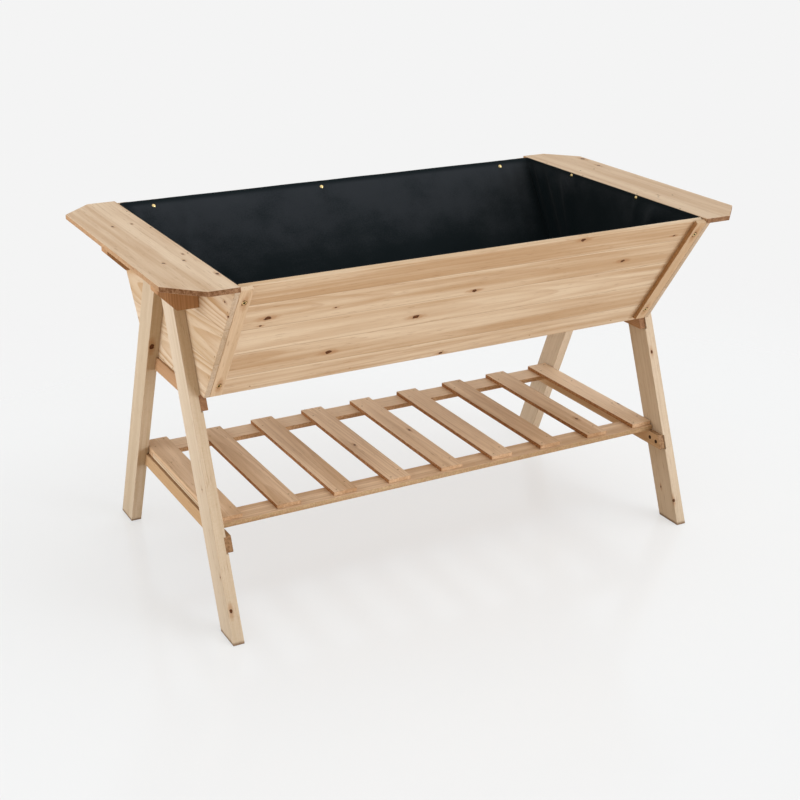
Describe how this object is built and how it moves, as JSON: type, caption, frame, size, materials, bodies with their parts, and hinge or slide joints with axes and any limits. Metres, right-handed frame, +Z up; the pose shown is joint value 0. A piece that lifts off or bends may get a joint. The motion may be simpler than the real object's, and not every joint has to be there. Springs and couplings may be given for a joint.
{
  "type": "raised garden bed",
  "caption": "Waist-high wooden planting trough with outward-leaning sides between two A-frames, with flat end boards on brackets, a black fabric liner and a low slatted shelf",
  "frame": {"origin": "On the floor, under the middle of the bed.", "axes": "+Z is up, +X runs along the bed to the right as seen from the front, and -Y is the front."},
  "size_m": [1.44, 0.76, 0.8],
  "materials": {
    "panel_wood": "planed pale softwood with straight grain and small knots",
    "board_wood": "planed pale softwood with long grain and grey-brown sawn ends",
    "leg_wood": "planed pale softwood",
    "bracket_wood": "sawn softwood with upright grain",
    "rail_wood": "planed softwood",
    "slat_wood": "planed softwood",
    "liner_fabric": "matt black non-woven cloth",
    "screw_steel": "yellow zinc-plated steel",
    "nail_steel": "dull zinc-plated steel",
    "tack_brass": "brass-plated dome"
  },
  "bodies": {
    "root": {"side_board_left": "board_wood", "end_panel_left": "panel_wood", "upper_rail_left": "rail_wood", "lower_rail_left": "rail_wood", "shelf_packer_left": "rail_wood", "batten_front_left": "rail_wood", "leg_front_left": "leg_wood", "bracket_front_left": "bracket_wood", "batten_back_left": "rail_wood", "leg_back_left": "leg_wood", "bracket_back_left": "bracket_wood", "side_board_right": "board_wood", "end_panel_right": "panel_wood", "upper_rail_right": "rail_wood", "lower_rail_right": "rail_wood", "shelf_packer_right": "rail_wood", "batten_front_right": "rail_wood", "leg_front_right": "leg_wood", "bracket_front_right": "bracket_wood", "batten_back_right": "rail_wood", "leg_back_right": "leg_wood", "bracket_back_right": "bracket_wood", "front_panel": "panel_wood", "shelf_rail_front": "rail_wood", "back_panel": "panel_wood", "shelf_rail_back": "rail_wood", "bottom_panel": "panel_wood", "shelf_slat_1": "slat_wood", "shelf_slat_2": "slat_wood", "shelf_slat_3": "slat_wood", "shelf_slat_4": "slat_wood", "shelf_slat_5": "slat_wood", "shelf_slat_6": "slat_wood", "shelf_slat_7": "slat_wood", "shelf_slat_8": "slat_wood", "shelf_slat_9": "slat_wood", "liner": "liner_fabric", "batten_screws": "screw_steel", "leg_screws": "screw_steel", "upper_rail_screws": "screw_steel", "lower_rail_screws": "screw_steel", "bracket_screws": "screw_steel", "shelf_rail_screws": "screw_steel", "batten_nails": "nail_steel", "board_nails": "nail_steel", "bottom_nails": "nail_steel", "slat_nails": "nail_steel", "liner_tacks": "tack_brass"}
  },
  "joints": []
}
